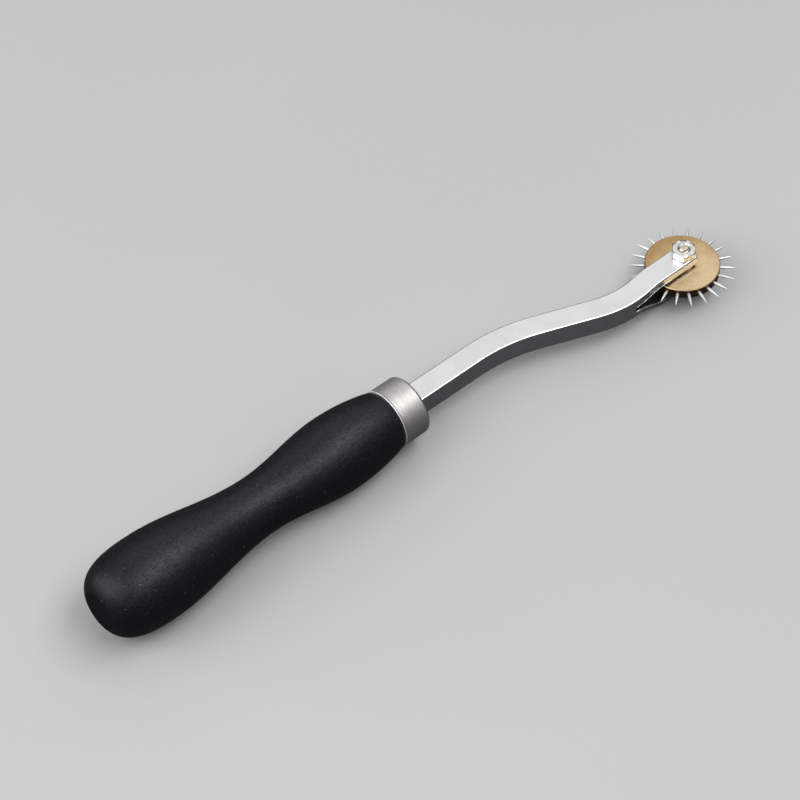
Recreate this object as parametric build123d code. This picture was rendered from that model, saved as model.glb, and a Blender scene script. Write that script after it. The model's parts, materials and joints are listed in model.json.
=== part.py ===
"""Tracing wheel: a hand tool that rolls a ring of needle points along a seam line.

Frame (millimetres): the origin is the centre of the flat end of the handle.
+X runs along the handle towards the wheel, +Z is square to the flat top of the arm and
is the direction of the wheel's axle, and +Y is to the left when looking along +X.
"""

import math
import os

from build123d import *

# ---- handle: one piece of turned wood ----
HANDLE_LENGTH = 94.6          # flat end to the shoulder that meets the ferrule
BUTT_FLAT_RADIUS = 5.6
BULB_X = 16.0
BULB_RADIUS = 12.1
WAIST_X = 51.8
WAIST_RADIUS = 8.0
SWELL_X = 77.8
SWELL_RADIUS = 10.7
SHOULDER_RADIUS = 8.5
SHOULDER_SLOPE = -0.27        # the swell is still closing in where it meets the ferrule
BUTT_SLOPE = 2.9              # the bulb starts almost square to the flat end

# ---- ferrule: drawn steel cup pressed over the handle's tenon ----
FERRULE_LENGTH = 8.6
FERRULE_RADIUS = 8.5
FERRULE_WALL = 0.8
LIP_RADIUS = 8.7
LIP_LENGTH = 0.32
LIP_SLOPE_LENGTH = 0.3
LIP_EDGE_RADIUS = 0.15
FERRULE_EDGE_RADIUS = 0.9
SEAT_GAP = 0.02               # hairline left between parts that are pressed together

# ---- arm: square bar with a round tang, an S-bend, a slight bend back and a sawn fork ----
ARM_WIDTH = 6.7
ARM_HEIGHT = 6.6
ARM_EDGE_RADIUS = 0.45
ARM_CORNER_RADIUS = 0.8       # plan corners at the tips of the tines
TANG_RADIUS = 2.3
TANG_LENGTH = 40.0
BEND_START = 22.3             # from the ferrule's front
BEND_ANGLE = 21.2
FIRST_BEND_RADIUS = 55.0
BEND_STRAIGHT = 17.5
SECOND_BEND_RADIUS = 30.0
OVERBEND_ANGLE = 6.0          # the second bend goes this far past the handle's direction
OVERBEND_STRAIGHT = 4.0
BACK_BEND_RADIUS = 20.0       # and a last bend brings the fork back to it
AXLE_FROM_FERRULE = 89.9
ARM_PAST_AXLE = 2.6
FORK_DEPTH = 21.5             # axle to the bottom of the saw cut
SAW_CUT = 1.5
UPPER_TINE = 2.9              # thickness at the bottom of the cut
UPPER_TINE_RISE = 0.2         # the upper tine is spread upwards a little
UPPER_TINE_THINNING = 0.4     # lost from its thickness between the cut and the tip
UPPER_BEND_LENGTH = 9.5
LOWER_TINE = 1.8
LOWER_TINE_DROP = 3.6         # the lower tine is bent down to make room for the wheel
LOWER_BEND_START = 2.4        # straight stretch between the bottom of the cut and that bend
LOWER_BEND_LENGTH = 8.0
TINE_BEND_RADIUS = 6.0

# ---- wheel ----
DISC_RADIUS = 10.4
DISC_THICKNESS = 3.175        # eighth-inch plate
DISC_TOP_Z = 0.03
DISC_EDGE_CHAMFER = 0.2
NEEDLE_COUNT = 22
NEEDLE_RADIUS = 0.42
NEEDLE_TIP_CIRCLE = 14.8      # radius the points reach
NEEDLE_POINT_RADIUS = 0.06
NEEDLE_SEAT_DEPTH = 3.2
NEEDLE_SEAT_GAP = 0.005
NEEDLE_PHASE = 6.1            # degrees from +X to the first needle

# ---- axle: 4-40 screw, quarter-inch nut, bush and two spacer rings ----
SCREW_RADIUS = 1.42
SCREW_HOLE_RADIUS = 1.5
SCREW_HEAD_RADIUS = 2.8
SCREW_HEAD_HEIGHT = 1.8
SCREW_HEAD_EDGE_RADIUS = 0.5
SCREW_SLOT_WIDTH = 0.8
SCREW_SLOT_DEPTH = 0.9
SCREW_SLOT_TURN = 30.0
SCREW_PROUD = 0.45            # length of screw standing above the nut
SCREW_END_CHAMFER = 0.38
NUT_ACROSS_FLATS = 6.2
NUT_HEIGHT = 2.3
NUT_CORNER_ANGLE = 30.0       # slope of the turned-off corners
NUT_MOUTH_CHAMFER = 0.45
NUT_TURN = 49.0               # degrees from +X to a corner of the nut
BUSH_RADIUS = 2.3
RUNNING_GAP = 0.05
SPACER_RADIUS = 3.1
END_PLAY = 0.08

LONG = 60.0                   # longer than any cut or section needs to reach
SAME = 0.01                   # positions closer than this are the same

# ---- derived positions ----
FERRULE_FRONT = HANDLE_LENGTH + FERRULE_LENGTH
TENON_END = FERRULE_FRONT - FERRULE_WALL
AXLE_X = FERRULE_FRONT + AXLE_FROM_FERRULE
ARM_END = AXLE_X + ARM_PAST_AXLE
CUT_X = AXLE_X - FORK_DEPTH
ARM_TOP = ARM_HEIGHT / 2
UPPER_TOP_Z = ARM_TOP + UPPER_TINE_RISE
UPPER_INNER_Z = UPPER_TOP_Z - UPPER_TINE + UPPER_TINE_THINNING
LOWER_OUTER_Z = -ARM_TOP - LOWER_TINE_DROP
LOWER_INNER_Z = LOWER_OUTER_Z + LOWER_TINE
DISC_MID_Z = DISC_TOP_Z - DISC_THICKNESS / 2


def arm_centreline():
    """Plan view of the bar: out to the right, back past straight, then straight again."""
    angle = math.radians(BEND_ANGLE)
    over = math.radians(OVERBEND_ANGLE)
    heading = Vector(math.cos(angle), -math.sin(angle))
    over_heading = Vector(math.cos(over), math.sin(over))
    inside_ferrule = Vector(TENON_END, 0)
    bend_start = Vector(FERRULE_FRONT + BEND_START, 0)
    first_end = bend_start + FIRST_BEND_RADIUS * Vector(math.sin(angle), math.cos(angle) - 1)
    second_start = first_end + BEND_STRAIGHT * heading
    second_end = second_start + SECOND_BEND_RADIUS * Vector(
        math.sin(angle) + math.sin(over), math.cos(angle) - math.cos(over)
    )
    third_start = second_end + OVERBEND_STRAIGHT * over_heading
    third_end = third_start + BACK_BEND_RADIUS * Vector(math.sin(over), 1 - math.cos(over))
    arm_end = Vector(ARM_END, third_end.Y)
    first_arc = TangentArc(bend_start, first_end, tangent=(1, 0))
    second_arc = TangentArc(second_start, second_end, tangent=heading)
    third_arc = TangentArc(third_start, third_end, tangent=over_heading)
    return Wire(
        [
            Line(inside_ferrule, bend_start).edge(),
            first_arc.edge(),
            Line(first_end, second_start).edge(),
            second_arc.edge(),
            Line(second_end, third_start).edge(),
            third_arc.edge(),
            Line(third_end, arm_end).edge(),
        ]
    )


AXLE_Y = arm_centreline().position_at(1).Y


def at_axle(z):
    """Location on the wheel's axis at height z."""
    return Location((AXLE_X, AXLE_Y, z))


def ring(outer_radius, inner_radius, bottom_z, top_z):
    """Plain tube on the wheel's axis."""
    height = top_z - bottom_z
    tube = Cylinder(outer_radius, height) - Cylinder(inner_radius, height)
    return at_axle((bottom_z + top_z) / 2) * tube


def make_handle():
    """Turned grip with a flat end, a bulb, a waist, a swell and a tenon for the ferrule."""
    tenon_radius = FERRULE_RADIUS - FERRULE_WALL - SEAT_GAP
    butt = Spline((0, BUTT_FLAT_RADIUS), (BULB_X, BULB_RADIUS), tangents=[(1, BUTT_SLOPE), (1, 0)])
    to_waist = Spline((BULB_X, BULB_RADIUS), (WAIST_X, WAIST_RADIUS), tangents=[(1, 0), (1, 0)])
    to_swell = Spline((WAIST_X, WAIST_RADIUS), (SWELL_X, SWELL_RADIUS), tangents=[(1, 0), (1, 0)])
    to_shoulder = Spline(
        (SWELL_X, SWELL_RADIUS),
        (HANDLE_LENGTH, SHOULDER_RADIUS),
        tangents=[(1, 0), (1, SHOULDER_SLOPE)],
    )
    tenon = Polyline(
        (HANDLE_LENGTH, SHOULDER_RADIUS),
        (HANDLE_LENGTH, tenon_radius),
        (TENON_END - SEAT_GAP, tenon_radius),
        (TENON_END - SEAT_GAP, 0),
        (0, 0),
        (0, BUTT_FLAT_RADIUS),
    )
    outline = make_face([butt, to_waist, to_swell, to_shoulder, tenon])
    grip = revolve(outline, axis=Axis.X)
    hole_depth = TANG_LENGTH + 1
    hole = Cylinder(TANG_RADIUS + SEAT_GAP, hole_depth, rotation=(0, 90, 0))
    return grip - Pos(TENON_END - hole_depth / 2, 0, 0) * hole


def make_ferrule():
    """Cup with a proud back lip, a rounded front edge and a square window for the bar."""
    outer = make_face(
        Polyline(
            (HANDLE_LENGTH, 0),
            (HANDLE_LENGTH, LIP_RADIUS),
            (HANDLE_LENGTH + LIP_LENGTH, LIP_RADIUS),
            (HANDLE_LENGTH + LIP_LENGTH + LIP_SLOPE_LENGTH, FERRULE_RADIUS),
            (FERRULE_FRONT, FERRULE_RADIUS),
            (FERRULE_FRONT, 0),
            (HANDLE_LENGTH, 0),
        )
    )
    cup = revolve(outer, axis=Axis.X)
    front_edge = cup.faces().sort_by(Axis.X)[-1].edges()
    cup = fillet(front_edge, FERRULE_EDGE_RADIUS)
    inner_length = FERRULE_LENGTH - FERRULE_WALL
    inner = Cylinder(FERRULE_RADIUS - FERRULE_WALL, inner_length, rotation=(0, 90, 0))
    cup -= Pos(HANDLE_LENGTH + inner_length / 2, 0, 0) * inner
    window = Box(LONG, ARM_WIDTH + 2 * SEAT_GAP, ARM_HEIGHT + 2 * SEAT_GAP)
    cup -= Pos(TENON_END - SEAT_GAP + LONG / 2, 0, 0) * window
    back_rim = cup.edges().filter_by(GeomType.CIRCLE).group_by(Axis.X)[0].sort_by(SortBy.RADIUS)[-1]
    return fillet(back_rim, LIP_EDGE_RADIUS)


def is_bend(vertex):
    """True for the corners of the arm's side view that are bends, not cuts."""
    at_end = min(abs(vertex.X - TENON_END), abs(vertex.X - ARM_END)) < SAME
    in_cut = abs(vertex.X - CUT_X) < SAME and vertex.Z < ARM_TOP - SAME
    return not at_end and not in_cut


def arm_side_view():
    """Side view of the bar and fork, in the XZ plane."""
    upper_bend_end = CUT_X + UPPER_BEND_LENGTH
    lower_bend_start = CUT_X + LOWER_BEND_START
    lower_bend_end = lower_bend_start + LOWER_BEND_LENGTH
    cut_floor = ARM_TOP - UPPER_TINE - SAW_CUT
    outline = Polyline(
        (TENON_END, -ARM_TOP),
        (TENON_END, ARM_TOP),
        (CUT_X, ARM_TOP),
        (upper_bend_end, UPPER_TOP_Z),
        (ARM_END, UPPER_TOP_Z),
        (ARM_END, UPPER_INNER_Z),
        (upper_bend_end, UPPER_INNER_Z),
        (CUT_X, ARM_TOP - UPPER_TINE),
        (CUT_X, cut_floor),
        (lower_bend_start, cut_floor),
        (lower_bend_end, LOWER_INNER_Z),
        (ARM_END, LOWER_INNER_Z),
        (ARM_END, LOWER_OUTER_Z),
        (lower_bend_end, LOWER_OUTER_Z),
        (lower_bend_start, -ARM_TOP),
        (TENON_END, -ARM_TOP),
    )
    face = make_face(Plane.XZ * outline)
    bends = [v for v in face.vertices() if is_bend(v)]
    return fillet(bends, TINE_BEND_RADIUS)


def long_outer_edges(bar):
    """The edges that run along the outside of the bar and its tines."""
    edges = ShapeList()
    for face in bar.faces():
        normal = face.normal_at()
        faces_outwards = normal.Z * face.center().Z > 0
        if abs(normal.Z) > 0.8 and faces_outwards:
            edges += [e for e in face.edges() if abs(e.tangent_at(0.5).Y) < 0.9]
    return edges


def make_arm():
    """Square bar bent in plan, sawn and spread in side view, with a round tang."""
    path = arm_centreline()
    section = Pos(TENON_END, 0, 0) * Rot(0, 90, 0) * Rectangle(LONG, ARM_WIDTH)
    plan_band = sweep(section, path)
    side_slab = extrude(arm_side_view(), LONG, both=True)
    bar = plan_band & side_slab
    end_corners = bar.faces().sort_by(Axis.X)[-2:].edges().filter_by(Axis.Z)
    bar = fillet(end_corners, ARM_CORNER_RADIUS)
    bar = fillet(long_outer_edges(bar), ARM_EDGE_RADIUS)
    hole = Cylinder(SCREW_HOLE_RADIUS, LONG)
    bar -= at_axle(0) * hole
    tang = Cylinder(TANG_RADIUS, TANG_LENGTH, rotation=(0, 90, 0))
    return bar + Pos(TENON_END - TANG_LENGTH / 2, 0, 0) * tang


def make_disc():
    """Brass disc with a bore for the bush and a radial blind hole for every needle."""
    disc = Cylinder(DISC_RADIUS, DISC_THICKNESS)
    disc = chamfer(disc.edges().filter_by(GeomType.CIRCLE), DISC_EDGE_CHAMFER)
    disc -= Cylinder(BUSH_RADIUS + RUNNING_GAP, DISC_THICKNESS)
    seat = Cylinder(NEEDLE_RADIUS + NEEDLE_SEAT_GAP, NEEDLE_SEAT_DEPTH + 1, rotation=(0, 90, 0))
    seat_middle = DISC_RADIUS + 1 - (NEEDLE_SEAT_DEPTH + 1) / 2
    for index in range(NEEDLE_COUNT):
        disc -= Rot(0, 0, needle_angle(index)) * Pos(seat_middle, 0, 0) * seat
    return at_axle(DISC_MID_Z) * disc


def needle_angle(index):
    return NEEDLE_PHASE + index * 360 / NEEDLE_COUNT


def make_needle(index):
    """Straight seat inside the disc, then a long full-bodied taper to the point."""
    seat_start = DISC_RADIUS - NEEDLE_SEAT_DEPTH
    rim = (DISC_RADIUS, NEEDLE_RADIUS)
    point = (NEEDLE_TIP_CIRCLE, NEEDLE_POINT_RADIUS)
    taper = TangentArc(rim, point, tangent=(1, 0))
    rest = Polyline(point, (NEEDLE_TIP_CIRCLE, 0), (seat_start, 0), (seat_start, NEEDLE_RADIUS), rim)
    needle = revolve(make_face([taper, rest]), axis=Axis.X)
    return at_axle(DISC_MID_Z) * Rot(0, 0, needle_angle(index)) * needle


def make_screw():
    """Screw with its head below the fork, end standing proud of the nut; thread left plain."""
    end_z = UPPER_TOP_Z + NUT_HEIGHT + SCREW_PROUD
    shank = Cylinder(SCREW_RADIUS, end_z - LOWER_OUTER_Z, align=(Align.CENTER, Align.CENTER, Align.MIN))
    shank = chamfer(shank.faces().sort_by(Axis.Z)[-1].edges(), SCREW_END_CHAMFER)
    head = Cylinder(SCREW_HEAD_RADIUS, SCREW_HEAD_HEIGHT, align=(Align.CENTER, Align.CENTER, Align.MAX))
    head = fillet(head.faces().sort_by(Axis.Z)[0].edges(), SCREW_HEAD_EDGE_RADIUS)
    slot = Box(LONG, SCREW_SLOT_WIDTH, SCREW_SLOT_DEPTH)
    head -= Pos(0, 0, SCREW_SLOT_DEPTH / 2 - SCREW_HEAD_HEIGHT) * Rot(0, 0, SCREW_SLOT_TURN) * slot
    return at_axle(LOWER_OUTER_Z) * (shank + head)


def make_nut():
    """Hexagon nut with its corners turned off on both faces."""
    corner_radius = NUT_ACROSS_FLATS / 2 / math.cos(math.pi / 6)
    hexagon = RegularPolygon(corner_radius, 6, rotation=NUT_TURN)
    nut = extrude(hexagon, NUT_HEIGHT / 2, both=True)
    drop = (corner_radius - NUT_ACROSS_FLATS / 2) * math.tan(math.radians(NUT_CORNER_ANGLE))
    half = NUT_HEIGHT / 2
    turned = make_face(
        Polyline(
            (0, -half),
            (NUT_ACROSS_FLATS / 2, -half),
            (corner_radius, drop - half),
            (corner_radius, half - drop),
            (NUT_ACROSS_FLATS / 2, half),
            (0, half),
            (0, -half),
        )
    )
    nut &= revolve(Plane.XZ * turned, axis=Axis.Z)
    hole_radius = SCREW_RADIUS + SEAT_GAP
    nut -= Cylinder(hole_radius, NUT_HEIGHT)
    mouths = nut.edges().filter_by(GeomType.CIRCLE).filter_by(lambda e: e.radius < hole_radius + SAME)
    nut = chamfer(mouths, NUT_MOUTH_CHAMFER)
    return at_axle(UPPER_TOP_Z + half) * nut


def make_parts():
    disc_bottom = DISC_TOP_Z - DISC_THICKNESS
    parts = {
        "handle": make_handle(),
        "ferrule": make_ferrule(),
        "arm": make_arm(),
        "wheel_disc": make_disc(),
        "axle_screw": make_screw(),
        "axle_nut": make_nut(),
        "axle_bush": ring(BUSH_RADIUS, SCREW_HOLE_RADIUS, LOWER_INNER_Z, UPPER_INNER_Z),
        "upper_spacer": ring(
            SPACER_RADIUS, BUSH_RADIUS + SEAT_GAP, DISC_TOP_Z + END_PLAY, UPPER_INNER_Z - SEAT_GAP
        ),
        "lower_spacer": ring(
            SPACER_RADIUS, BUSH_RADIUS + SEAT_GAP, LOWER_INNER_Z + SEAT_GAP, disc_bottom - END_PLAY
        ),
    }
    for index in range(NEEDLE_COUNT):
        parts[f"needle_{index + 1:02d}"] = make_needle(index)
    return parts


os.makedirs("parts", exist_ok=True)
for name, shape in make_parts().items():
    shape.label = name
    export_step(shape, f"parts/{name}.step")
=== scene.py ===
"""Tracing wheel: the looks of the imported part, in the part's own frame, in metres.

The CAD nodes give the ferrule, arm, disc, bush and spacers. The grip, nut, screw and needles
are rebuilt here with finer shapes: eased edges, a cut thread and full-bodied ground points.
Beads of burr along the fork's slot are added, and have no CAD node.
"""

import json
import math
import random

import bpy
import numpy as np
from mathutils import Matrix, Vector
from mathutils.bvhtree import BVHTree


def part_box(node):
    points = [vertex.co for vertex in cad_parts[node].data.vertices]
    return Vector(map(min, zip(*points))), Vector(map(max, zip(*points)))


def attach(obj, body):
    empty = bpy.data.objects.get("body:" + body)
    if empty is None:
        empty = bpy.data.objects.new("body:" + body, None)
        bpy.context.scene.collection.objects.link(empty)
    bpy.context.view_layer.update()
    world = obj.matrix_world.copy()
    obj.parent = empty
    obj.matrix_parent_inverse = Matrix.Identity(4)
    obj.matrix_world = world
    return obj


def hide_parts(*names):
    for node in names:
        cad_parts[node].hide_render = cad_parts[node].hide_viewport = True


MM = 0.001
TINY = 1e-6                   # in metres: less than any real gap between two points
EASE = 0.05 * MM              # how softly the grip's flat end and the nut's corners are rounded

# ---- camera: the viewing angle, round the part's own axes ----
CAMERA_AZIMUTH = math.radians(-40.96)
CAMERA_ELEVATION = math.radians(49.91)
CAMERA_ROLL = math.radians(-0.19)
CAMERA_DISTANCE = 794.3 * MM
CAMERA_AIM = Vector((102.1, 2.6, 0.0)) * MM
CAMERA_LENS = 135.0

# ---- how the tool lies: on the bulb of its grip and the head of its screw ----
FLOOR_PITCH = math.radians(1.25)
FLOOR_ROLL = math.radians(-2.4)
FLOOR_SIZE = 4.0

# ---- light from all round: (upward slope, grey level) of its dark and its pale end ----
SKY_TONES = ((0.0, 0.04), (0.75, 0.38))

# ---- grip ----
BUTT_EDGE = 0.5 * MM          # width over which the flat end rolls into the bulb
SHOULDER_DIP = 0.5 * MM       # how far the wood rolls in where it meets the ferrule
SHOULDER_ROUND = 0.3 * MM     # length along the grip over which it does so
END_GRAIN = 0.03 * MM         # how far the dull end grain of the flat end reaches
BORE_RADIUS = 2.32 * MM
BORE_DEPTH = 41.0 * MM
RIPPLE_HEIGHT = 0.0012 * MM
RIPPLE_COUNT = 16
RIPPLE_WAVES = (3, 30)        # fewest and most waves round the grip
RIPPLE_SLANT = 900            # most that a wave turns along the grip, in radians per metre
RIPPLE_PHASE = 6.28           # about one full turn
GRIP_STEPS = 300
GRIP_SEGMENTS = 192

# ---- ferrule ----
LIP_HIGHLIGHT_WIDTH = 0.2 * MM          # the lip's face at the wood's end, painted near-white and matt as a painted highlight
LIP_HIGHLIGHT_ROUGHNESS = 0.62

# ---- fork ----
FORK_LEVEL = -0.4 * MM        # a height that is between the tines all the way along
FORK_START_X = 172.6 * MM     # just past the bottom of the saw cut
BURR_FROM_X = 171.8 * MM
BURR_TO_X = 186.0 * MM
BURR_STEP = 0.15 * MM
BURR_RADIUS = 0.17 * MM
BURR_THINNEST = 0.15          # least share of the full radius
BURR_CHANGE = 0.25            # most change of that share from one step to the next
BURR_TIP = 0.15               # further share that is left at the very end of a bead
BURR_CLOSING_STEPS = 3        # steps over which an end closes to its tip
BURR_SEGMENTS = 8
BESIDE_ARM = 100.0 * MM       # far enough sideways to be outside the arm

# ---- wheel ----
NEEDLE_COUNT = 22
NEEDLE_RADIUS = 0.42 * MM
NEEDLE_POINT_RADIUS = 0.07 * MM
NEEDLE_SEAT_DEPTH = 3.1 * MM
NEEDLE_LEAN = math.radians(1.2)
NEEDLE_LENGTH_SPREAD = 0.3 * MM
NEEDLE_TAPER = 2.4            # how late the taper closes in
NEEDLE_STEPS = 16
NEEDLE_SEGMENTS = 24
DISC_RADIUS = 10.4 * MM
TARNISH_FROM = 0.8 * DISC_RADIUS
TARNISH_TO = 1.02 * DISC_RADIUS
RIM_TARNISH = 0.22            # how much browner the disc is at its rim
TIP_CIRCLE = 14.8 * MM

# ---- screw and nut ----
SCREW_RADIUS = 1.42 * MM
THREAD_PITCH = 0.635 * MM
THREAD_DEPTH = 0.22 * MM
THREAD_START = 2.5 * MM       # how far under the nut the thread begins
THREAD_STEPS = 110
SCREW_SEGMENTS = 96
SCREW_END_STEPS = 8
SCREW_END_CHAMFER = 0.38 * MM
SCREW_DOME = 0.07 * MM
HEAD_HEIGHT = 1.8 * MM
HEAD_RADIUS = 2.8 * MM
HEAD_EDGE_RADIUS = 0.5 * MM
HEAD_SLOT_WIDTH = 0.8 * MM
HEAD_SLOT_DEPTH = 0.9 * MM
HEAD_SLOT_TURN = math.radians(30.0)
SLOT_CUTTER_LENGTH = 20 * MM  # longer than the head is wide
NUT_ACROSS_FLATS = 6.2 * MM
NUT_TURN = math.radians(49.0)
NUT_CORNER_SLOPE = math.tan(math.radians(30.0))
NUT_MOUTH_RADIUS = 1.89 * MM
NUT_MOUTH_DEPTH = 0.45 * MM
NUT_CLEARANCE = 0.02 * MM
NUT_FLAT_LIMIT = 0.3          # a flat counts while the cosine of its angle away is above this
NUT_STEPS = 36
NUT_SEGMENTS = 180

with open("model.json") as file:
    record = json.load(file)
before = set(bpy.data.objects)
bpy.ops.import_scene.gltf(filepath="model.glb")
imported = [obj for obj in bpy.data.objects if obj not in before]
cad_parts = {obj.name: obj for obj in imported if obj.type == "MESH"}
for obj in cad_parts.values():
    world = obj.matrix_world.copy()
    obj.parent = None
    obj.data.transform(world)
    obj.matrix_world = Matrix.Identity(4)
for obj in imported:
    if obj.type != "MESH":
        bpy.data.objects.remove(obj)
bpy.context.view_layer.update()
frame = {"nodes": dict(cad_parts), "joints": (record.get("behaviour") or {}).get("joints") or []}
nodes = frame["nodes"]
axle = Vector(frame["joints"][0]["pos_m"])


# ---------------------------------------------------------------- mesh helpers

def mesh_object(name, vertices, faces, material, crease=math.radians(35)):
    """A linked, smooth-shaded mesh object that keeps edges sharper than crease."""
    mesh = bpy.data.meshes.new(name)
    mesh.from_pydata([tuple(v) for v in vertices], [], faces)
    mesh.materials.append(material)
    mesh.polygons.foreach_set("use_smooth", [True] * len(mesh.polygons))
    mesh.set_sharp_from_angle(angle=crease)
    mesh.update()
    obj = bpy.data.objects.new(name, mesh)
    bpy.context.scene.collection.objects.link(obj)
    return obj


def lathe(name, outline, segments, material, shape=None, hollow=False):
    """A solid turned about X from (x, radius) points.

    shape(x, radius, angle) may change the radius. A hollow outline joins up with its own
    start; any other one is closed by a flat cap at either end.
    """
    angles = [2 * math.pi * step / segments for step in range(segments)]
    vertices = []
    for x, radius in outline:
        for angle in angles:
            r = shape(x, radius, angle) if shape else radius
            vertices.append((x, r * math.cos(angle), r * math.sin(angle)))
    count = len(outline)
    faces = []
    for ring in range(count if hollow else count - 1):
        here = ring * segments
        there = (ring + 1) % count * segments
        for step in range(segments):
            after = (step + 1) % segments
            faces.append((here + step, here + after, there + after, there + step))
    if not hollow:
        faces.append(tuple(reversed(range(segments))))
        faces.append(tuple((count - 1) * segments + step for step in range(segments)))
    return mesh_object(name, vertices, faces, material)


def carve(obj, cutter):
    """Cuts cutter out of obj and deletes cutter."""
    modifier = obj.modifiers.new("carve", "BOOLEAN")
    modifier.operation = "DIFFERENCE"
    modifier.object = cutter
    depsgraph = bpy.context.evaluated_depsgraph_get()
    carved = bpy.data.meshes.new_from_object(obj.evaluated_get(depsgraph))
    obj.modifiers.clear()
    obj.data = carved
    bpy.data.objects.remove(cutter)


def block(name, size, place, material):
    """A box of the given size, put in place by a matrix."""
    corners = [
        place @ Vector((x * size[0] / 2, y * size[1] / 2, z * size[2] / 2))
        for x in (-1, 1)
        for y in (-1, 1)
        for z in (-1, 1)
    ]
    faces = [(0, 1, 3, 2), (4, 6, 7, 5), (0, 4, 5, 1), (2, 3, 7, 6), (0, 2, 6, 4), (1, 5, 7, 3)]
    return mesh_object(name, corners, faces, material)


def soft_min(values, ease):
    """The least of some lengths, with the corners between them rounded by about ease."""
    least = min(values)
    return least - ease * math.log(sum(math.exp((least - v) / ease) for v in values))


def direction(azimuth, elevation):
    """The unit vector from the tool towards whatever stands at these angles, in radians."""
    flat = math.cos(elevation)
    return Vector((math.sin(azimuth) * flat, -math.cos(azimuth) * flat, math.sin(elevation)))


def quarter_round(x, radius, edge, steps=5):
    """(x, radius) points of a quarter circle that eases the edge at the start of an outline."""
    turns = [math.pi / 2 * step / steps for step in range(steps + 1)]
    return [(x + edge * (1 - math.cos(t)), radius - edge * (1 - math.sin(t))) for t in turns]


# ---------------------------------------------------------------- material helpers

class NodeMaterial:
    """Short calls for building one node material."""

    def __init__(self, name):
        self.material = bpy.data.materials.new(name)
        self.material.use_nodes = True
        self.tree = self.material.node_tree
        self.shader = self.tree.nodes["Principled BSDF"]

    def add(self, kind, settings=None, **inputs):
        """One node: settings are its options, inputs are values or other nodes' sockets."""
        node = self.tree.nodes.new(kind)
        for key, value in (settings or {}).items():
            setattr(node, key, value)
        for key, value in inputs.items():
            self.feed(node.inputs[key.replace("_", " ")], value)
        return node

    def feed(self, socket, value):
        """Links value if it is a socket, else sets it as the socket's own value."""
        if isinstance(value, bpy.types.NodeSocket):
            self.tree.links.new(value, socket)
        else:
            socket.default_value = value

    def noise(self, scale, detail=4.0, roughness=0.5):
        """Noise from 0 to 1 with its own fineness, in waves per metre, along each axis."""
        point = self.add("ShaderNodeTexCoord").outputs["Object"]
        point = self.add("ShaderNodeMapping", Vector=point, Scale=scale).outputs["Vector"]
        options = {"Scale": 1.0, "Detail": detail, "Roughness": roughness}
        return self.add("ShaderNodeTexNoise", Vector=point, **options).outputs["Fac"]

    def position(self):
        """The X, Y and Z sockets of a point's place in the part's frame."""
        point = self.add("ShaderNodeTexCoord").outputs["Object"]
        return self.add("ShaderNodeSeparateXYZ", Vector=point).outputs

    def facing(self):
        """The X, Y and Z sockets of the way the surface faces."""
        normal = self.add("ShaderNodeTexCoord").outputs["Normal"]
        return self.add("ShaderNodeSeparateXYZ", Vector=normal).outputs

    def distance(self, place):
        """How far a point is from a fixed place."""
        node = self.add("ShaderNodeVectorMath", {"operation": "DISTANCE"})
        self.feed(node.inputs[0], self.add("ShaderNodeTexCoord").outputs["Object"])
        self.feed(node.inputs[1], place)
        return node.outputs["Value"]

    def span(self, value, low, high):
        """value as a number that runs from 0 at low to 1 at high."""
        return self.add("ShaderNodeMapRange", Value=value, From_Min=low, From_Max=high).outputs["Result"]

    def ramp(self, value, *stops):
        """A ramp through (position, grey level or colour) stops."""
        node = self.add("ShaderNodeValToRGB", Fac=value)
        elements = node.color_ramp.elements
        while len(elements) < len(stops):
            elements.new(0.5)
        for element, (position, tone) in zip(elements, stops):
            element.position = position
            element.color = (tone, tone, tone, 1.0) if isinstance(tone, float) else (*tone, 1.0)
        return node.outputs["Color"]

    def mix(self, factor, a, b):
        """A colour mix from a to b."""
        node = self.add("ShaderNodeMix", {"data_type": "RGBA"})
        self.feed(node.inputs[0], factor)
        self.feed(node.inputs[6], a)
        self.feed(node.inputs[7], b)
        return node.outputs[2]

    def math(self, operation, a, b=0.0):
        """One arithmetic node's result."""
        node = self.add("ShaderNodeMath", {"operation": operation})
        self.feed(node.inputs[0], a)
        self.feed(node.inputs[1], b)
        return node.outputs[0]

    def around(self, value, middle, spread):
        """value, which runs from 0 to 1, as a number that runs over spread round middle."""
        low, high = middle - spread / 2, middle + spread / 2
        return self.add("ShaderNodeMapRange", Value=value, To_Min=low, To_Max=high).outputs["Result"]

    def above(self, value, limit):
        """1 where value is above limit, else 0."""
        return self.math("GREATER_THAN", value, limit)

    def below(self, value, limit):
        """1 where value is below limit, else 0."""
        return self.math("LESS_THAN", value, limit)

    def both(self, a, b):
        """1 where both are 1."""
        return self.math("MULTIPLY", a, b)

    def bump(self, height, strength, depth, below=None):
        """A bump of the given depth in metres, on top of the normal below."""
        node = self.add("ShaderNodeBump", Height=height, Strength=strength, Distance=depth)
        if below is not None:
            self.feed(node.inputs["Normal"], below)
        return node.outputs["Normal"]

    def finish(self, **inputs):
        """Feeds the shader and returns the material."""
        for key, value in inputs.items():
            self.feed(self.shader.inputs[key.replace("_", " ")], value)
        return self.material


def rgb(red, green, blue):
    """An opaque colour."""
    return (red, green, blue, 1.0)


# ---------------------------------------------------------------- materials

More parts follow.
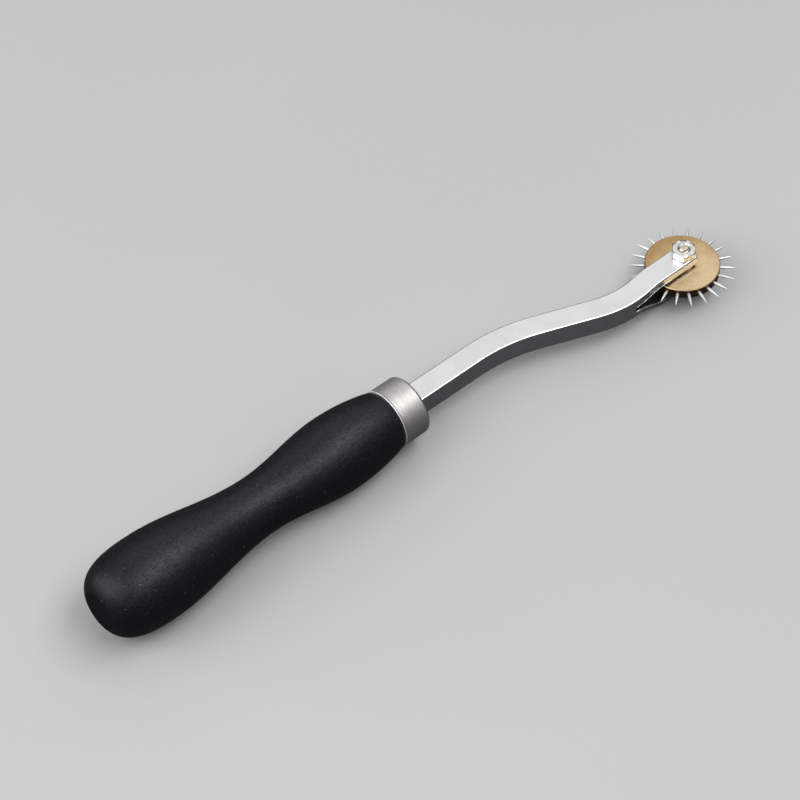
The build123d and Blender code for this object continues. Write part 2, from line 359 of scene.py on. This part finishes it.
def black_wood():
    """Black-stained turned wood: fine streaks, open pores, an uneven satin sheen, some dust."""
    m = NodeMaterial("black_wood")
    streaks = m.noise((1100, 2600, 2600), detail=4.0, roughness=0.7)
    pores = m.noise((420, 6500, 6500), detail=2.0)
    sheen = m.noise((30, 120, 120), detail=3.0)
    base = m.ramp(streaks, (0.30, (0.0030, 0.0030, 0.0045)), (0.70, (0.0065, 0.0062, 0.0090)))
    open_pores = m.ramp(pores, (0.34, 1.0), (0.42, 0.0))
    base = m.mix(open_pores, base, rgb(0.002, 0.002, 0.003))
    dust = m.ramp(m.noise((2300, 2300, 2300), detail=0.0), (0.84, 0.0), (0.855, 0.5))
    base = m.mix(dust, base, rgb(0.25, 0.25, 0.27))
    rough = m.math("ADD", m.around(sheen, 0.28, 0.10), m.around(streaks, 0.11, 0.22))
    normal = m.bump(streaks, 0.8, 0.00007)
    normal = m.bump(open_pores, 0.5, -0.00004, below=normal)
    point = m.position()
    shine = m.ramp(streaks, (0.35, 0.29), (0.65, 0.52))
    shine = m.mix(m.below(point["X"], END_GRAIN), shine, rgb(0.12, 0.12, 0.12))
    m.feed(m.shader.inputs["Specular Tint"], rgb(0.86, 0.83, 1.0))
    return m.finish(Base_Color=base, Roughness=rough, Normal=normal, Specular_IOR_Level=shine)


def metal(name, light, dark, roughness, grain, clouds=(160, 160, 160), relief=0.25):
    """A bare metal with a clouded tone from light to dark and a grain of fine lines.

    Returns the material, its colour and its roughness, so that more can be laid over them.
    """
    m = NodeMaterial(name)
    lines = m.noise(grain, detail=3.0, roughness=0.6)
    tone = m.ramp(m.noise(clouds, detail=5.0, roughness=0.65), (0.35, 0.0), (0.65, 1.0))
    base = m.mix(tone, rgb(*dark), rgb(*light))
    rough = m.around(lines, roughness, 0.12)
    normal = m.bump(lines, relief, 0.00002)
    m.finish(Base_Color=base, Roughness=rough, Normal=normal, Metallic=1.0)
    return m, base, rough


def ferrule_steel():
    """Steel brushed round its own axis, so light stretches along it. A thin band at the wood's end
    carries a painted highlight.
    """
    m, base, rough = metal(
        "ferrule_steel",
        light=(0.60, 0.58, 0.58),
        dark=(0.47, 0.45, 0.45),
        roughness=0.48,
        grain=(3000, 160, 160),
        clouds=(3400, 420, 420),
        relief=1.6,
    )
    tangent = m.add("ShaderNodeTangent", {"direction_type": "RADIAL", "axis": "X"}).outputs["Tangent"]
    point = m.position()
    # painted highlight: the lip's face at the wood's end is painted near-white and matt, so it shines
    # from every side
    painted_lip_highlight = m.below(point["X"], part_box("ferrule")[0].x + LIP_HIGHLIGHT_WIDTH)
    base = m.mix(painted_lip_highlight, base, rgb(0.98, 0.97, 0.96))
    rough = m.math("MAXIMUM", m.math("MULTIPLY", painted_lip_highlight, LIP_HIGHLIGHT_ROUGHNESS), rough)
    return m.finish(Base_Color=base, Roughness=rough, Anisotropic=0.4, Tangent=tangent)


def arm_steel():
    """Plated bar: satin with faint lengthwise lines. The saw-cut walls of the fork are rough, and
    painted dark as painted shade inside the slot.
    """
    m, base, _ = metal(
        "arm_steel",
        light=(0.80, 0.80, 0.80),
        dark=(0.74, 0.74, 0.74),
        roughness=0.28,
        grain=(220, 3000, 3000),
        relief=0.05,
    )
    point = m.position()
    facing = m.facing()
    # the slot's walls and the bottom of the cut: rough from the saw, and painted dark as painted shade
    # inside the slot
    lower_wall = m.both(m.above(facing["Z"], 0.5), m.below(point["Z"], 0.0))
    upper_wall = m.both(m.below(facing["Z"], -0.5), m.above(point["Z"], FORK_LEVEL))
    cut_bottom = m.both(m.above(facing["X"], 0.7), m.below(point["X"], FORK_START_X))
    sawn_and_shaded = m.math("MAXIMUM", m.math("MAXIMUM", lower_wall, upper_wall), cut_bottom)
    marks = m.noise((2500, 1400, 1400), detail=3.0)
    # painted shade: the near-black colour of the slot's walls, mottled by the sawn marks
    sawn_marks_and_painted_shade = m.ramp(marks, (0.3, (0.02, 0.018, 0.018)), (0.7, (0.17, 0.15, 0.145)))
    rough = m.math("MAXIMUM", m.math("MULTIPLY", sawn_and_shaded, 0.5), m.around(marks, 0.28, 0.06))
    return m.finish(Base_Color=m.mix(sawn_and_shaded, base, sawn_marks_and_painted_shade), Roughness=rough)


def disc_brass():
    """Brass gone mottled and brown: browner at the rim; darker and browner towards +Y, partly tarnish
    and partly a painted glare that lightens the side towards the camera. The rim's wall is painted dark
    as a painted reflection of dark surroundings.
    """
    m, base, _ = metal(
        "disc_brass",
        light=(0.86, 0.68, 0.43),
        dark=(0.68, 0.50, 0.29),
        roughness=0.37,
        grain=(3200, 3200, 3200),
        clouds=(2400, 2400, 2400),
        relief=0.8,
    )
    point = m.position()
    facing = m.facing()
    # darker and browner towards +Y: partly tarnish, partly a painted glare that keeps the side towards
    # the camera lighter
    tarnish_and_glare_across = m.span(point["Y"], axle.y - DISC_RADIUS, axle.y + DISC_RADIUS)
    near_rim = m.span(m.distance(axle), TARNISH_FROM, TARNISH_TO)
    mottle = m.noise((220, 220, 220), detail=6.0, roughness=0.6)
    patches = m.math("ADD", tarnish_and_glare_across, m.around(mottle, 0.0, 1.2))
    patches = m.math("ADD", patches, m.math("MULTIPLY", near_rim, RIM_TARNISH))
    base = m.mix(m.ramp(patches, (0.15, 0.0), (1.0, 0.9)), base, rgb(0.44, 0.27, 0.11))
    # painted reflection: the rim's upright wall is painted near-black brown, as if it mirrored dark
    # surroundings
    wall = m.below(m.math("ABSOLUTE", facing["Z"]), 0.5)
    base = m.mix(wall, base, rgb(0.17, 0.11, 0.05))
    return m.finish(Base_Color=base)


def needle_steel():
    """Bright ground steel: satin, and partly diffuse from its many fine grinding marks."""
    m, _, _ = metal(
        "needle_steel",
        light=(0.95, 0.95, 0.95),
        dark=(0.86, 0.86, 0.87),
        roughness=0.40,
        grain=(3000, 3000, 3000),
    )
    return m.finish(Metallic=0.7)


def nut_steel():
    """Zinc-plated steel, pale and slightly cloudy."""
    m, _, _ = metal(
        "nut_steel",
        light=(0.84, 0.85, 0.84),
        dark=(0.62, 0.63, 0.62),
        roughness=0.26,
        grain=(1800, 1800, 1800),
        clouds=(900, 900, 900),
    )
    return m.material


def screw_steel():
    """Plated steel gone yellowish."""
    m, _, _ = metal(
        "screw_steel",
        light=(0.80, 0.74, 0.60),
        dark=(0.56, 0.50, 0.38),
        roughness=0.24,
        grain=(1500, 1500, 1500),
        clouds=(1100, 1100, 1100),
    )
    return m.material


def turned_steel():
    """Plain steel with the fine rings of a lathe, for the bush and the spacers."""
    m, _, _ = metal(
        "turned_steel",
        light=(0.60, 0.60, 0.61),
        dark=(0.48, 0.48, 0.50),
        roughness=0.32,
        grain=(900, 900, 6000),
    )
    return m.material


# ---------------------------------------------------------------- pieces

def join_in(obj, body, slot, *replaced):
    """Puts a rebuilt piece on its body, in the place of its CAD nodes."""
    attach(obj, body)
    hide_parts(*replaced)


def outer_profile(node, front):
    """(x, radius) of a turned CAD node's outer skin, up to x = front."""
    points = {}
    for vertex in nodes[node].data.vertices:
        if vertex.co.x <= front:
            x = round(vertex.co.x, 6)
            points[x] = max(points.get(x, 0.0), math.hypot(vertex.co.y, vertex.co.z))
    return sorted(points.items())


def turning_ripples():
    """Waves that run slanting round the grip: (waves round it, turn along it, phase) of each."""
    chance = random.Random(4)
    ripples = []
    for _ in range(RIPPLE_COUNT):
        waves = chance.randint(*RIPPLE_WAVES)
        slant = chance.uniform(-RIPPLE_SLANT, RIPPLE_SLANT)
        ripples.append((waves, slant, chance.uniform(0, RIPPLE_PHASE)))
    return ripples


def make_grip(material):
    """The turned grip: the CAD outline with an eased butt edge, a tenon and the tang's bore."""
    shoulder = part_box("ferrule")[0].x
    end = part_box("handle")[1].x
    xs, radii = zip(*outer_profile("handle", shoulder + TINY))
    butt_radius = radii[0]
    tenon_face = [v.co for v in nodes["handle"].data.vertices if v.co.x > end - TINY]
    tenon_radius = max(math.hypot(co.y, co.z) for co in tenon_face)
    ripples = turning_ripples()

    def skin(x, radius, angle):
        if x >= shoulder:
            return radius
        height = sum(math.sin(waves * angle + slant * x + phase) - 1 for waves, slant, phase in ripples)
        return radius + height * RIPPLE_HEIGHT

    outline = [(0.0, butt_radius - BUTT_EDGE), (0.0, butt_radius - BUTT_EDGE / 2)]
    for step in range(1, GRIP_STEPS + 1):
        x = shoulder * (1 - math.cos(math.pi * step / GRIP_STEPS)) / 2
        dip = SHOULDER_DIP * math.exp((x - shoulder) / SHOULDER_ROUND)
        radius = float(np.interp(x, xs, radii)) - dip
        outline.append((x + EASE * math.exp(-x / EASE), radius))
    outline += [
        (shoulder, tenon_radius),
        (end, tenon_radius),
        (end, BORE_RADIUS),
        (end - BORE_DEPTH, BORE_RADIUS),
    ]
    grip = lathe("grip", outline, GRIP_SEGMENTS, material, shape=skin)
    join_in(grip, "tool", "black_wood", "handle")


def make_needle(index, material, chance):
    """A ground point: a straight seat in the disc, then a full-bodied taper."""
    node = f"needle_{index + 1:02d}"
    low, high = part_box(node)
    middle = (low + high) / 2 - axle
    angle = math.atan2(middle.y, middle.x)
    length = TIP_CIRCLE - DISC_RADIUS - chance.uniform(0, NEEDLE_LENGTH_SPREAD)
    outline = [(-NEEDLE_SEAT_DEPTH, NEEDLE_RADIUS)]
    for step in range(NEEDLE_STEPS + 1):
        t = step / NEEDLE_STEPS
        radius = NEEDLE_RADIUS + (NEEDLE_POINT_RADIUS - NEEDLE_RADIUS) * t**NEEDLE_TAPER
        outline.append((t * length, radius))
    needle = lathe(f"point_{index + 1:02d}", outline, NEEDLE_SEGMENTS, material)
    lean = Matrix.Rotation(chance.uniform(-1, 1) * NEEDLE_LEAN, 4, "Z")
    rim = Matrix.Translation((DISC_RADIUS, 0, 0))
    needle.data.transform(Matrix.Translation(axle) @ Matrix.Rotation(angle, 4, "Z") @ rim @ lean)
    join_in(needle, "wheel", "needle_steel", node)


def upright(z):
    """Turns a lathed piece's X axis up onto the axle, starting at height z, with angle 0 along X."""
    up = Matrix.Rotation(-math.pi / 2, 4, "Z") @ Matrix.Rotation(-math.pi / 2, 4, "Y")
    return Matrix.Translation((axle.x, axle.y, z)) @ up


def make_nut(material):
    """Hexagon nut: six flats met by a cone at either face, with every edge a little eased."""
    low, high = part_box("axle_nut")
    height = high.z - low.z
    apothem = NUT_ACROSS_FLATS / 2
    flats = [NUT_TURN + math.pi / 6 + k * math.pi / 3 for k in range(6)]

    def body(x, radius, angle):
        if radius < apothem:
            return radius
        cosines = [math.cos(angle - flat) for flat in flats]
        reach = [apothem / cosine for cosine in cosines if cosine > NUT_FLAT_LIMIT]
        cone = min(x, height - x) / NUT_CORNER_SLOPE
        return soft_min(reach + [apothem + cone], EASE)

    hole = SCREW_RADIUS + NUT_CLEARANCE
    outline = []
    for step in range(NUT_STEPS + 1):
        outline.append((height * (1 - math.cos(math.pi * step / NUT_STEPS)) / 2, apothem))
    outline += [
        (height, NUT_MOUTH_RADIUS),
        (height - NUT_MOUTH_DEPTH, hole),
        (NUT_MOUTH_DEPTH, hole),
        (0.0, NUT_MOUTH_RADIUS),
    ]
    nut = lathe("nut", outline, NUT_SEGMENTS, material, shape=body, hollow=True)
    nut.data.transform(upright(low.z))
    join_in(nut, "tool", "plated_steel", "axle_nut")


def make_screw(material):
    """Slotted screw with a cut thread on the end that stands in the nut."""
    low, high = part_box("axle_screw")
    length = high.z - low.z
    thread_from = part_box("axle_nut")[0].z - low.z - THREAD_START
    chamfer_from = length - SCREW_DOME - SCREW_END_CHAMFER
    crown = SCREW_RADIUS - SCREW_END_CHAMFER
    uncut = crown - SCREW_END_CHAMFER / 2

    def skin(x, radius, angle):
        if x < thread_from or radius < uncut:
            return radius
        turn = (x / THREAD_PITCH - angle / (2 * math.pi)) % 1.0
        groove = THREAD_DEPTH * abs(2 * turn - 1)
        run_in = min(1.0, (x - thread_from) / THREAD_PITCH)
        return min(radius, SCREW_RADIUS - groove * run_in)

    outline = quarter_round(0.0, HEAD_RADIUS, HEAD_EDGE_RADIUS)
    outline += [
        (HEAD_HEIGHT, HEAD_RADIUS),
        (HEAD_HEIGHT, SCREW_RADIUS),
        (thread_from - TINY, SCREW_RADIUS),
    ]
    for step in range(THREAD_STEPS + 1):
        x = thread_from + (chamfer_from - thread_from) * step / THREAD_STEPS
        outline.append((x, SCREW_RADIUS))
    for step in range(1, SCREW_END_STEPS + 1):
        t = step / SCREW_END_STEPS
        outline.append((chamfer_from + t * SCREW_END_CHAMFER, SCREW_RADIUS - t * SCREW_END_CHAMFER))
    for step in range(1, SCREW_END_STEPS):
        t = step / SCREW_END_STEPS
        outline.append((length - SCREW_DOME * (1 - t) ** 2, crown * (1 - t)))
    screw = lathe("screw", outline, SCREW_SEGMENTS, material, shape=skin)
    slot_size = (2 * HEAD_SLOT_DEPTH, SLOT_CUTTER_LENGTH, HEAD_SLOT_WIDTH)
    slot_place = Matrix.Rotation(HEAD_SLOT_TURN, 4, "X")
    carve(screw, block("slot", slot_size, slot_place, material))
    screw.data.transform(upright(low.z))
    join_in(screw, "tool", "plated_steel", "axle_screw")


def make_burrs(material):
    """Ragged beads of metal that the saw left along the four edges of the fork's slot."""
    arm = nodes["arm"].data
    surface = BVHTree.FromPolygons([v.co for v in arm.vertices], [p.vertices for p in arm.polygons])
    chance = random.Random(9)
    for level, rise in (("upper", 1), ("lower", -1)):
        for side, sign in (("near", -1), ("far", 1)):
            path = slot_edge(surface, rise, sign)
            bead = bead_along(f"burr_{level}_{side}", path, chance, material)
            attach(bead, "tool")


def slot_edge(surface, rise, sign):
    """Points along one edge of the slot: rise is +1 for the upper wall, sign +1 for the +Y side.

    At each step a ray from inside the slot finds the height of its wall, and a ray from beside
    the arm finds how far out the tine reaches there.
    """
    path = []
    for step in range(int((BURR_TO_X - BURR_FROM_X) / BURR_STEP) + 1):
        x = BURR_FROM_X + step * BURR_STEP
        wall = surface.ray_cast(Vector((x, axle.y, FORK_LEVEL)), Vector((0, 0, rise)))[0]
        outside = Vector((x, sign * BESIDE_ARM, wall.z + rise * BURR_RADIUS))
        path.append(surface.ray_cast(outside, Vector((0, -sign, 0)))[0])
    return path


def bead_along(name, path, chance, material):
    """An irregular round bead along a path, pointed at both ends."""
    vertices, faces = [], []
    last = len(path) - 1
    swell = 0.5
    for index, point in enumerate(path):
        along = (path[min(index + 1, last)] - path[max(index - 1, 0)]).normalized()
        up = along.cross(Vector((0, 1, 0))).normalized()
        out = up.cross(along)
        swell = min(1.0, max(BURR_THINNEST, swell + chance.uniform(-BURR_CHANGE, BURR_CHANGE)))
        taper = min(1.0, BURR_TIP + min(index, last - index) / BURR_CLOSING_STEPS)
        radius = BURR_RADIUS * swell * taper
        for step in range(BURR_SEGMENTS):
            turn = 2 * math.pi * step / BURR_SEGMENTS
            vertices.append(point + (up * math.cos(turn) + out * math.sin(turn)) * radius)
    for ring in range(last):
        first = ring * BURR_SEGMENTS
        for step in range(BURR_SEGMENTS):
            here = first + step
            after = first + (step + 1) % BURR_SEGMENTS
            faces.append((here, here + BURR_SEGMENTS, after + BURR_SEGMENTS, after))
    faces.append(tuple(range(BURR_SEGMENTS)))
    faces.append(tuple(last * BURR_SEGMENTS + step for step in reversed(range(BURR_SEGMENTS))))
    return mesh_object(name, vertices, faces, material)


def dress_nodes():
    """Gives every CAD node that is shown its material."""
    turned = turned_steel()
    chosen = {"ferrule": ferrule_steel(), "arm": arm_steel(), "wheel_disc": disc_brass()}
    for name, obj in nodes.items():
        obj.data.materials.clear()
        obj.data.materials.append(chosen.get(name, turned))


def make_pieces():
    """Every piece that is rebuilt or added here. The burr is as bright as the ground points."""
    make_grip(black_wood())
    make_nut(nut_steel())
    make_screw(screw_steel())
    bright = needle_steel()
    make_burrs(bright)
    chance = random.Random(22)
    for index in range(NEEDLE_COUNT):
        make_needle(index, bright, chance)


# ---------------------------------------------------------------- stage

def floor_matrix():
    """The floor's place: touching the lowest point of the tool at its lying angle."""
    tilt = Matrix.Rotation(FLOOR_PITCH, 4, "Y") @ Matrix.Rotation(FLOOR_ROLL, 4, "X")
    lowest = min((tilt @ v.co).z for n in ("handle", "axle_screw") for v in nodes[n].data.vertices)
    return tilt.inverted() @ Matrix.Translation((0, 0, lowest))


def make_floor():
    """Plain pale floor. Mirrored in metal it is dark, as if black card stood round the tool."""
    m = NodeMaterial("floor")
    clouds = m.noise((3, 3, 3), detail=3.0)
    m.finish(Base_Color=m.ramp(clouds, (0.3, 0.50), (0.7, 0.53)), Roughness=0.6, Specular_IOR_Level=0.2)
    card = m.add("ShaderNodeBsdfDiffuse", Color=rgb(0.07, 0.07, 0.075)).outputs["BSDF"]
    mirrored = m.add("ShaderNodeLightPath").outputs["Is Glossy Ray"]
    choice = m.add("ShaderNodeMixShader", Fac=mirrored)
    m.feed(choice.inputs[1], m.shader.outputs["BSDF"])
    m.feed(choice.inputs[2], card)
    m.feed(m.tree.nodes["Material Output"].inputs["Surface"], choice.outputs["Shader"])
    half = FLOOR_SIZE / 2
    corners = [(-half, -half, 0), (half, -half, 0), (half, half, 0), (-half, half, 0)]
    floor = mesh_object("floor", corners, [(0, 1, 2, 3)], m.material)
    floor.matrix_world = floor_matrix()


def softbox(name, azimuth, elevation, distance, width, height, power):
    """An area light aimed at the middle of the tool. Angles are in degrees."""
    light = bpy.data.lights.new(name, "AREA")
    light.shape = "RECTANGLE"
    light.size = width
    light.size_y = height
    light.energy = power
    obj = bpy.data.objects.new(name, light)
    bpy.context.scene.collection.objects.link(obj)
    back = direction(math.radians(azimuth), math.radians(elevation))
    obj.location = CAMERA_AIM + back * distance
    obj.rotation_mode = "QUATERNION"
    obj.rotation_quaternion = (-back).to_track_quat("-Z", "Y")


def make_world():
    """Soft light from all round, dark below and pale above."""
    world = bpy.data.worlds.new("studio")
    bpy.context.scene.world = world
    world.use_nodes = True
    tree = world.node_tree
    way = tree.nodes.new("ShaderNodeTexCoord").outputs["Generated"]
    height = tree.nodes.new("ShaderNodeSeparateXYZ")
    tree.links.new(way, height.inputs["Vector"])
    fade = tree.nodes.new("ShaderNodeValToRGB")
    tree.links.new(height.outputs["Z"], fade.inputs["Fac"])
    for element, (position, tone) in zip(fade.color_ramp.elements, SKY_TONES):
        element.position = position
        element.color = rgb(tone, tone, tone)
    tree.links.new(fade.outputs["Color"], tree.nodes["Background"].inputs["Color"])


def make_camera():
    """The camera, aimed at the middle of the tool."""
    data = bpy.data.cameras.new("camera")
    data.lens = CAMERA_LENS
    data.clip_start = 0.01
    data.clip_end = 20.0
    obj = bpy.data.objects.new("camera", data)
    bpy.context.scene.collection.objects.link(obj)
    back = direction(CAMERA_AZIMUTH, CAMERA_ELEVATION)
    aim = (-back).to_track_quat("-Z", "Y").to_matrix().to_4x4()
    turn = aim @ Matrix.Rotation(CAMERA_ROLL, 4, "Z")
    obj.matrix_world = Matrix.Translation(CAMERA_AIM + back * CAMERA_DISTANCE) @ turn
    bpy.context.scene.camera = obj


dress_nodes()
make_pieces()
make_floor()
make_world()
softbox("back_box", azimuth=137, elevation=50, distance=0.9, width=0.95, height=0.65, power=1.15)
softbox("key_box", azimuth=36, elevation=64, distance=0.95, width=0.9, height=0.45, power=5.0)
softbox("side_box", azimuth=-92, elevation=46, distance=0.9, width=0.8, height=0.6, power=3.0)
softbox("far_box", azimuth=-120, elevation=20, distance=0.9, width=0.9, height=0.6, power=2.8)
make_camera()
bpy.context.scene.view_settings.view_transform = "Standard"
